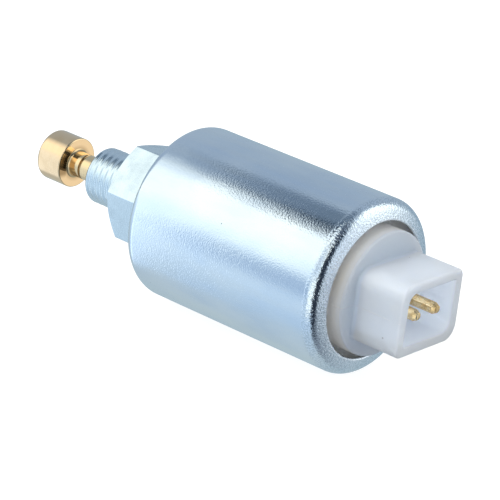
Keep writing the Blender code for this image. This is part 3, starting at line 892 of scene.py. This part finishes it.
def makeMould(sizes):
    low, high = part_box("connector_housing")
    front = high.x
    angles = [atan2(x, y) for x, y in shroudOutline(sizes, 0)]

    def boxLoop(station, inset):
        return [(station, -x, y) for x, y in shroudOutline(sizes, inset)]

    top, bottom, fillet = sizes["flangeTop"], sizes["flangeBottom"], sizes["hubFillet"]
    recess, skirt, hub = sizes["recessRadius"], sizes["skirtRadius"], sizes["hubRadius"]
    bend = sizes["hubRound"]
    hubBack = [
        (sizes["recessRoof"], recess), (low.x, recess), (low.x, skirt), (bottom, skirt),
        (bottom, sizes["flangeRadius"]), (top, sizes["flangeRadius"]),
        (top, hub + fillet), (top + fillet, hub),
    ]
    edge = arcProfile(sizes["hubFace"] - bend, hub - bend, bend, 0, 90, sizes["edgeSteps"])
    loops = circleLoops(hubBack + edge, angles)
    wall = sizes["wall"]
    bend = sizes["baseFillet"]
    for closing, opening in quarterTurn(sizes["bendSteps"]):
        loops.append(boxLoop(sizes["hubFace"] + bend * opening, -bend * closing))
    bend = sizes["rimRound"]
    for closing, opening in quarterTurn(sizes["bendSteps"]):
        loops.append(boxLoop(front - bend * closing, bend * opening))
    bend = sizes["mouthRound"]
    for closing, opening in quarterTurn(sizes["mouthSteps"]):
        loops.append(boxLoop(front - bend * opening, wall - bend * closing))
    bend = sizes["floorRound"]
    for closing, opening in quarterTurn(sizes["floorSteps"]):
        loops.append(boxLoop(sizes["socketFloor"] + bend * closing, wall + bend * opening))
    return shellOf("mouldedConnector", loops, nylon)


mould = makeMould(mouldSizes)
print("connector ready")


# pins in the socket

pinSizes = {
    "cornerSteps": 3, "cornerSoft": 0.10, "footBevel": 0.0001, "noseLength": 0.00055,
    "noseShare": 0.58, "noseSoft": 0.00010, "sharpAngle": 24,
}


def eightSided(radius, softness, steps):
    # an octagon with softened corners whose flats lie at the radius
    corner = radius / cos(pi / 8)
    inner = corner * (1 - softness)
    points = []
    for k in range(8):
        facing = pi / 8 + k * pi / 4
        for i in range(steps + 1):
            turn = facing - pi / 8 + pi / 4 * i / steps
            reach = corner * softness * cos(pi / 8)
            points.append((
                inner * sin(facing) + reach * sin(turn), inner * cos(facing) + reach * cos(turn)))
    return points


def makePin(name, node, sizes):
    low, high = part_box(node)
    centre = (low + high) / 2
    radius = (high.y - low.y) / 2
    nose = high.x - sizes["noseLength"]
    tipRadius = radius * sizes["noseShare"]
    soft = sizes["noseSoft"]
    foot = sizes["footBevel"]
    profile = [
        (low.x, radius - foot), (low.x + foot, radius), (nose - soft, radius),
        (nose, radius - soft * 0.3), (nose + soft, radius - soft),
        (high.x - soft, tipRadius + soft * 0.6), (high.x - soft * 0.3, tipRadius - soft * 0.3),
        (high.x, tipRadius - soft * 1.2),
    ]
    loops = []
    for x, r in profile:
        section = eightSided(r, sizes["cornerSoft"], sizes["cornerSteps"])
        loops.append([(x, centre.y - y, centre.z + z) for y, z in section])
    return shellOf(name, loops, pinMetal, sharpAngle=sizes["sharpAngle"])


pinA = makePin("pinA", "terminal_pin_a", pinSizes)
pinB = makePin("pinB", "terminal_pin_b", pinSizes)
print("pins ready")


# valve tip

tipSizes = {
    "turns": 128, "neck": 0.0018, "neckChamfer": 0.0003, "fillet": 0.0004, "headStart": -0.0122,
    "backBevel": 0.00015, "noseRound": 0.0006, "grooveReach": 0.0019, "grooveWidth": 0.00045,
    "grooveDepth": 0.0003, "roundSteps": 8, "bevelSteps": 5, "noseSteps": 10,
    "endHole": 0.0001, "faceRing": 0.0015, "backRing": 0.0008, "sideRing": 0.0001,
}


def makeTip(sizes):
    low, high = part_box("valve_tip")
    head = high.z
    neck = sizes["neck"]
    start = sizes["headStart"]
    profile = [
        (high.x, sizes["endHole"]), (high.x, neck - sizes["neckChamfer"]),
        (high.x - sizes["neckChamfer"], neck),
    ]
    grooveFront = start + sizes["grooveReach"]
    half = sizes["grooveWidth"] / 2
    for i in range(sizes["roundSteps"] + 1):
        t = pi * i / sizes["roundSteps"]
        profile.append((grooveFront + half + half * cos(t), neck - sizes["grooveDepth"] * sin(t)))
    fillet = sizes["fillet"]
    for closing, opening in quarterTurn(sizes["roundSteps"]):
        profile.append((start + fillet * closing, neck + fillet * opening))
    bevel = sizes["backBevel"]
    nose = sizes["noseRound"]
    profile += [(start, head - sizes["backRing"]), (start, head - bevel * 1.4)]
    profile += arcProfile(start - bevel, head - bevel, bevel, 90, 0, sizes["bevelSteps"])
    profile += [(start - bevel * 1.4, head), (low.x + nose + sizes["sideRing"], head)]
    profile += arcProfile(low.x + nose, head - nose, nose, 0, -90, sizes["noseSteps"])
    profile += [(low.x, sizes["faceRing"]), (low.x, sizes["endHole"])]
    return shellOf("valveTip", circleLoops(profile, evenAngles(sizes["turns"])), tipMetal)


tip = makeTip(tipSizes)
print("valve tip ready")


# return spring, wound along its path

springSizes = {
    "Wire": 0.0005, "Sides": 12, "coils": 7, "stepsPerTurn": 28, "closedGap": 0.0001,
    "stroke": 0.003, "seam": 0.000001, "sharpAngle": 50,
}


def buildWireAlongPath():
    # sweeps a round wire along a path of edges
    tree, given = newGeometryTree("wireAlongPath", ("Wire",), "Sides")
    path = addNode(tree, "GeometryNodeMeshToCurve", {"Mesh": given["Geometry"]}).outputs[0]
    section = addNode(tree, "GeometryNodeCurvePrimitiveCircle", {
        "Resolution": given["Sides"], "Radius": times(tree, given["Wire"], 0.5),
    }).outputs["Curve"]
    swept = addNode(tree, "GeometryNodeCurveToMesh", {
        "Curve": path, "Profile Curve": section, "Fill Caps": True,
    }).outputs[0]
    closeTree(tree, swept, given["Material"])
    return tree


def makeSpring(sizes):
    low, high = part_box("return_spring")
    half = sizes["Wire"] / 2
    radius = high.z - half
    closedPitch = sizes["Wire"] + sizes["closedGap"]
    length = high.x - low.x - sizes["Wire"]
    openPitch = (length - 2 * closedPitch) / sizes["coils"]
    points = []
    for i in range((sizes["coils"] + 2) * sizes["stepsPerTurn"] + 1):
        turns = i / sizes["stepsPerTurn"]
        openTurns = min(max(turns - 1, 0), sizes["coils"])
        station = low.x + half + (turns - openTurns) * closedPitch + openTurns * openPitch
        points.append((station, -radius * sin(turns * 2 * pi), radius * cos(turns * 2 * pi)))
    data = bpy.data.meshes.new("returnSpring")
    data.from_pydata(points, [(i, i + 1) for i in range(len(points) - 1)], [])
    steel = innerFinishes["bare_steel"]
    made = runTree(
        addObject("returnSpring", data), buildWireAlongPath(), {**sizes, "Material": steel})

    # the caps and the wire's skin become one closed surface
    shape = bmesh.new()
    shape.from_mesh(made.data)
    bmesh.ops.remove_doubles(shape, verts=shape.verts, dist=sizes["seam"])
    bmesh.ops.recalc_face_normals(shape, faces=shape.faces)
    shape.to_mesh(made.data)
    shape.free()
    made.data.shade_smooth()
    made.data.set_sharp_from_angle(angle=radians(sizes["sharpAngle"]))
    settle(made, "return_spring", bodyName)
    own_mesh(made)
    return made


spring = makeSpring(springSizes)
print("return spring ready:", len(spring.data.polygons), "faces")

settle(can, "case", bodyName)
settle(fitting, "hex_fitting", bodyName)
settle(mould, "connector_housing", bodyName)
settle(pinA, "terminal_pin_a", bodyName)
settle(pinB, "terminal_pin_b", bodyName)
settle(tip, "valve_tip", plungerName)


# studio: floor, light tent, white world, lamp and camera

floorLook = {
    "color": (0.30, 0.30, 0.30), "paper": (0.6, 0.6, 0.6), "paperShare": 0.04, "paperScale": 40.0,
    "rough": 0.9, "glow": 0.86, "halfSize": 1.5, "gap": 0.0001,
}


def makeFloor(values):
    level = cadBox[0].z - values["gap"]
    half = values["halfSize"]
    data = bpy.data.meshes.new("floor")
    corners = (-half, -half), (half, -half), (half, half), (-half, half)
    data.from_pydata([(x, y, level) for x, y in corners], [], [(0, 1, 2, 3)])
    floor = addObject("floor", data)
    made, tree, inputs, where = newMaterial("paleFloor")
    made.cycles.emission_sampling = "NONE"
    paper = noiseOf(tree, where, values["paperScale"])
    color = tinted(tree, values["color"], values["paper"], paper, values["paperShare"])
    tree.links.new(color, inputs["Base Color"])
    setInputs(inputs, {
        "Roughness": values["rough"], "Specular IOR Level": 0.0, "Emission Color": (1, 1, 1, 1),
    })
    path = tree.nodes.new("ShaderNodeLightPath").outputs
    seen = mathOf(tree, "MAXIMUM", path["Is Camera Ray"], path["Is Transmission Ray"])
    tree.links.new(times(tree, seen, values["glow"]), inputs["Emission Strength"])
    data.materials.append(made)
    floor.visible_glossy = False


# A light tent round the object, which polished metal mirrors. Its bands run round the X axis, by
# angle in degrees from straight up towards the front. Each card has a stretch of angles and how
# softly it ends, a stretch of reach and how softly it ends, and a color. Reach goes from -1,
# straight past the valve tip, to 1, straight past the connector.
tentRadius = 2.5
tentBands = [
    (-180, (0.53, 0.63, 0.71)), (-150, (0.50, 0.60, 0.65)), (-110, (0.37, 0.49, 0.57)),
    (-80, (0.41, 0.50, 0.60)), (-30, (0.39, 0.48, 0.60)), (0, (0.41, 0.50, 0.61)),
    (18, (1.02, 1.12, 1.16)), (29, (1.30, 1.36, 1.34)), (58, (1.28, 1.36, 1.34)),
    (80, (0.98, 1.13, 1.22)), (98, (0.70, 0.86, 1.03)), (122, (0.66, 0.81, 0.97)),
    (148, (0.55, 0.69, 0.84)), (168, (0.54, 0.65, 0.75)), (180, (0.53, 0.63, 0.71)),
]
tentCards = {
    "blueCard": ((83, 107), 9, (-0.600, -0.30), 0.014, (0.44, 0.58, 0.78)),
    "topFlag": ((-15, 14), 4, (-0.606, 0.30), 0.012, (0.16, 0.22, 0.30)),
    "frontFlag": ((-2, 31), 4, (0.22, 0.90), 0.06, (0.10, 0.13, 0.18)),
    "paleCard": ((42, 76), 8, (-0.20, 0.50), 0.10, (0.72, 0.82, 0.92)),
    "lowWindow": ((80, 122), 8, (0.06, 0.73), 0.05, (1.25, 1.34, 1.34)),
    "backWindow": ((-94, -24), 8, (0.40, 0.88), 0.08, (1.55, 1.65, 1.65)),
    "lowFlagFront": ((150, 181), 12, (0.52, 0.86), 0.08, (0.22, 0.26, 0.32)),
    "lowFlagBack": ((-181, -142), 10, (0.52, 0.86), 0.08, (0.22, 0.26, 0.32)),
    "nearCard": ((-132, -100), 6, (0.46, 0.74), 0.05, (0.97, 0.97, 0.97)),
    "endFlag": ((-2, 181), 10, (0.66, 1.10), 0.04, (0.03, 0.04, 0.06)),
    "endFlagBack": ((-181, -158), 8, (0.86, 1.10), 0.05, (0.05, 0.06, 0.08)),
    "endLight": ((-146, -28), 8, (0.82, 1.10), 0.04, (0.80, 0.90, 1.0)),
    "streakFlag": ((7, 26), 4, (-0.552, -0.30), 0.006, (0.03, 0.05, 0.08)),
    "tipCard": ((66, 170), 10, (-0.80, -0.643), 0.004, (1.08, 1.27, 1.48)),
}


def softBand(tree, value, low, high, soft):
    return between(tree, value, (low - soft, low + soft), (high - soft, high + soft))


def makeTent(radius, bands, cards):
    shape = bmesh.new()
    bmesh.ops.create_uvsphere(shape, u_segments=64, v_segments=32, radius=radius)
    data = bpy.data.meshes.new("lightTent")
    shape.to_mesh(data)
    shape.free()
    tent = addObject("lightTent", data)
    made, tree, inputs, place = newMaterial("tentCloth")
    made.cycles.emission_sampling = "NONE"
    way = addNode(tree, "ShaderNodeVectorMath", {0: place}, operation="NORMALIZE").outputs[0]
    parts = partsOf(tree, way)
    turn = times(tree, angleOf(tree, parts), 180 / pi)
    along = spread(tree, turn, -180.0, 180.0, smooth=False)
    color = rampOf(tree, along, [((degrees + 180) / 360, tone) for degrees, tone in bands])
    for angles, angleSoft, reach, reachSoft, tone in cards.values():
        across = softBand(tree, turn, *angles, angleSoft)
        within = softBand(tree, parts[0], *reach, reachSoft)
        color = mixOf(tree, times(tree, across, within), color, tone)
    tree.links.new(color, inputs["Emission Color"])
    setInputs(inputs, {
        "Base Color": (0, 0, 0, 1), "Specular IOR Level": 0.0, "Emission Strength": 1.0,
    })
    data.materials.append(made)
    tent.visible_camera = False
    tent.visible_diffuse = False
    tent.visible_transmission = False
    tent.visible_shadow = False


def makeWorld():
    world = bpy.data.worlds.new("whiteBackdrop")
    bpy.context.scene.world = world
    world.use_nodes = True
    world.node_tree.nodes["Background"].inputs["Color"].default_value = (1, 1, 1, 1)


lampSetup = {
    "place": (-0.25, -0.30, 0.45), "aim": (0.02, 0, 0), "size": 0.35, "power": 2.2,
    "color": (0.97, 0.99, 1.0),
}


def makeLamp(values):
    data = bpy.data.lights.new("softLamp", "AREA")
    data.shape = "SQUARE"
    data.size = values["size"]
    data.energy = values["power"]
    data.color = values["color"]
    lamp = addObject("softLamp", data)
    lamp.location = values["place"]
    away = Vector(values["place"]) - Vector(values["aim"])
    lamp.rotation_euler = away.to_track_quat("Z", "Y").to_euler()
    lamp.visible_glossy = False


cameraSetup = {
    "azimuth": 38.803, "elevation": 21.547, "roll": -6.878, "distance": 0.35707,
    "aim": (0.020409, 0.0, -0.001779), "lens": 193.956, "sensor": 36, "nearest": 0.01,
}


def makeCamera(values):
    data = bpy.data.cameras.new("portrait")
    data.lens = values["lens"]
    data.sensor_width = values["sensor"]
    data.clip_start = values["nearest"]
    camera = addObject("portrait", data)
    az, el = radians(values["azimuth"]), radians(values["elevation"])
    back = Vector((sin(az) * cos(el), -cos(az) * cos(el), sin(el)))
    level = Vector((0, 0, 1)).cross(back).normalized()
    up = Matrix.Rotation(-radians(values["roll"]), 3, back) @ back.cross(level)
    right = up.cross(back)
    turn = Matrix((right, up, back)).transposed().to_4x4()
    place = Vector(values["aim"]) + back * values["distance"]
    camera.matrix_world = Matrix.Translation(place) @ turn
    bpy.context.scene.camera = camera


makeFloor(floorLook)
makeTent(tentRadius, tentBands, tentCards)
makeWorld()
makeLamp(lampSetup)
makeCamera(cameraSetup)
bpy.context.scene.view_settings.view_transform = "Standard"
print("studio ready")
